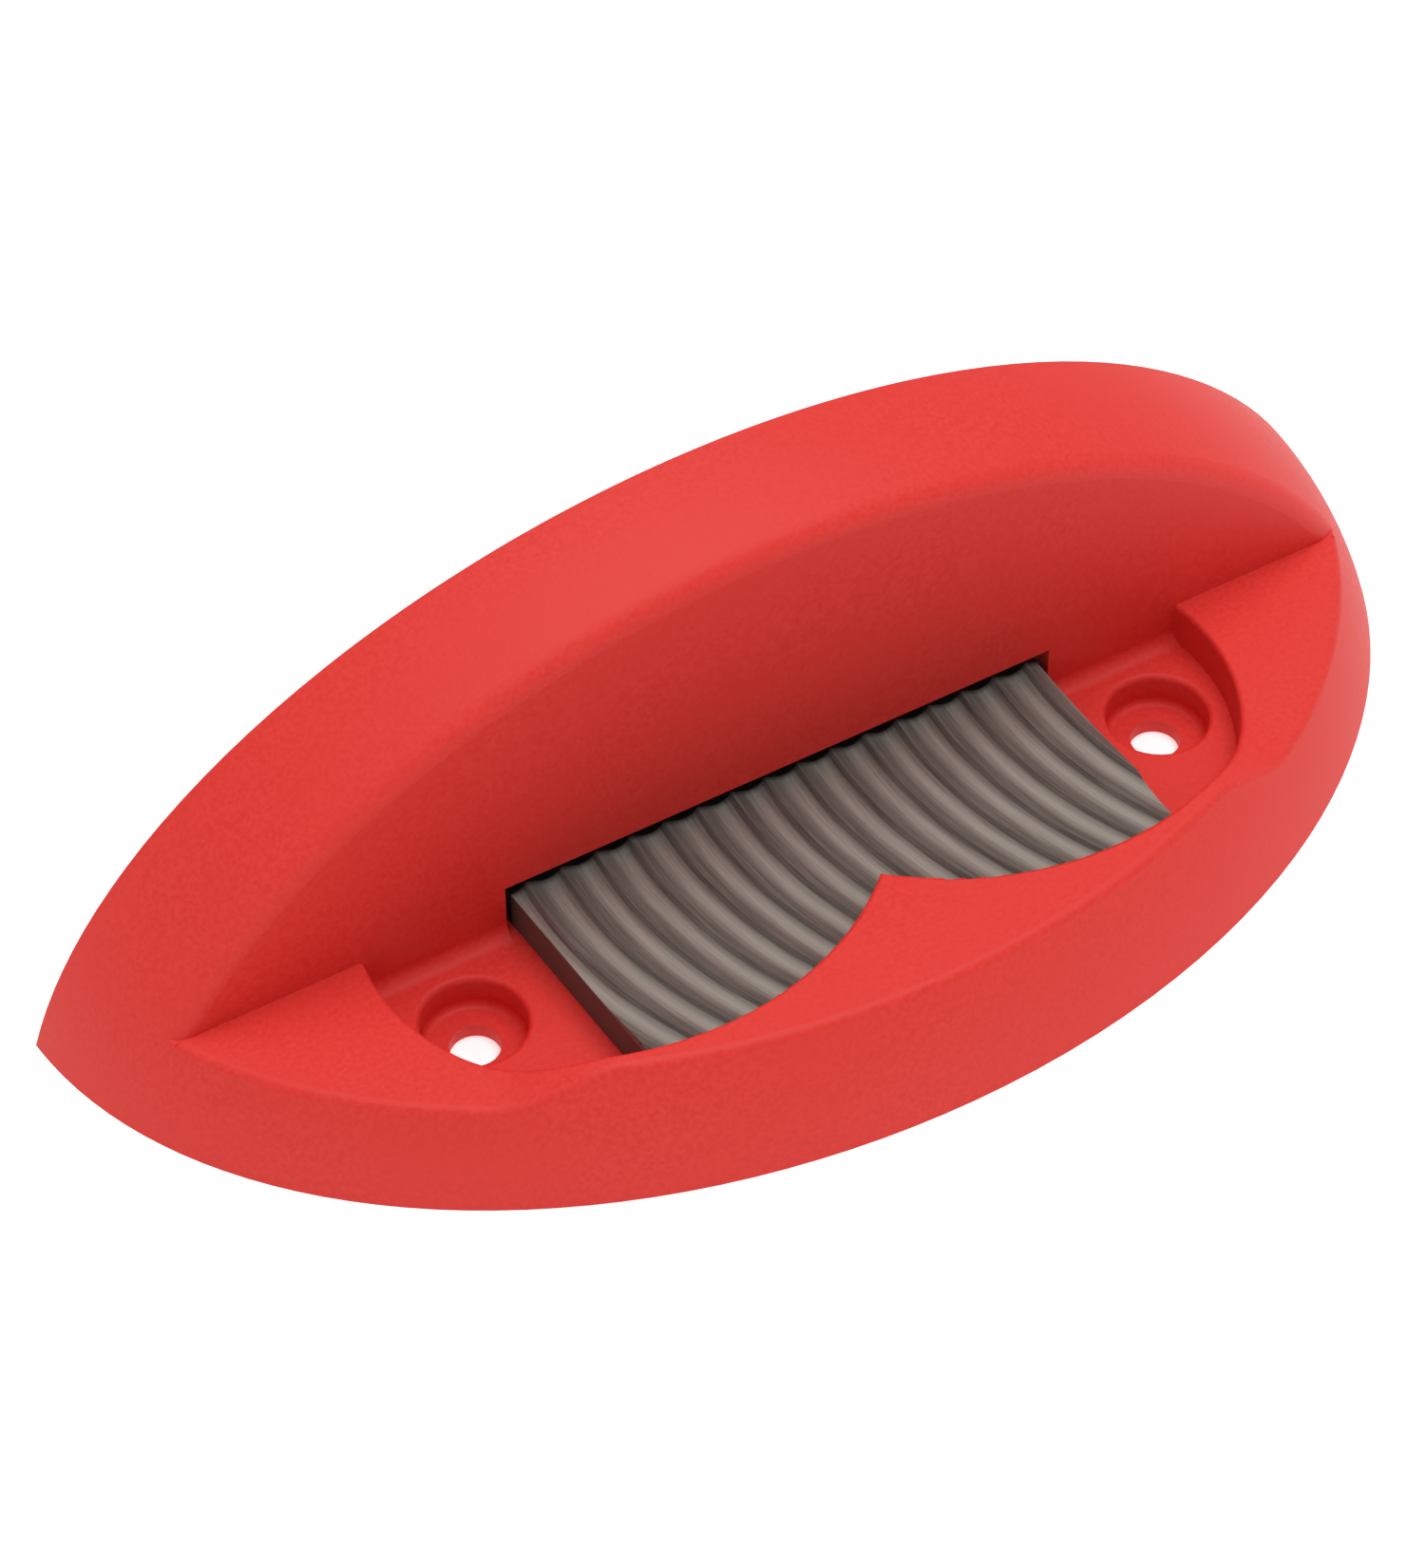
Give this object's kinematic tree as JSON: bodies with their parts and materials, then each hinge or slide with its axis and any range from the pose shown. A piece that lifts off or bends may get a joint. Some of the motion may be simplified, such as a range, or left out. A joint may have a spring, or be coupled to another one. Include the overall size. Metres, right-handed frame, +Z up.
{
  "type": "scraper sharpener",
  "caption": "Moulded half-dome edge sharpener: a curved-tooth file plate lies in a recessed base in front of an arched right-angle fence, with a counterbored screw hole at each end.",
  "frame": {"origin": "middle of the bounding box, on the underside", "axes": "+X along the fence, to the right seen from the front; the front is -Y; +Z up"},
  "size_m": [0.119, 0.0412, 0.0341],
  "materials": {
    "red_moulding": "fine matte texture",
    "file_steel": "milled, grey",
    "black_moulding": "matte"
  },
  "bodies": {
    "body": {"body": "red_moulding"},
    "file": {"file_plate": "file_steel"},
    "wedge": {"file_wedge": "black_moulding"}
  },
  "joints": [
    {"name": "file_slide", "type": "slide", "parent": "body", "child": "file", "axis": [0, 1, 0], "range_m": [0, 0.03]},
    {"name": "wedge_slide", "type": "slide", "parent": "body", "child": "wedge", "axis": [0, 1, 0], "range_m": [0, 0.012]}
  ]
}
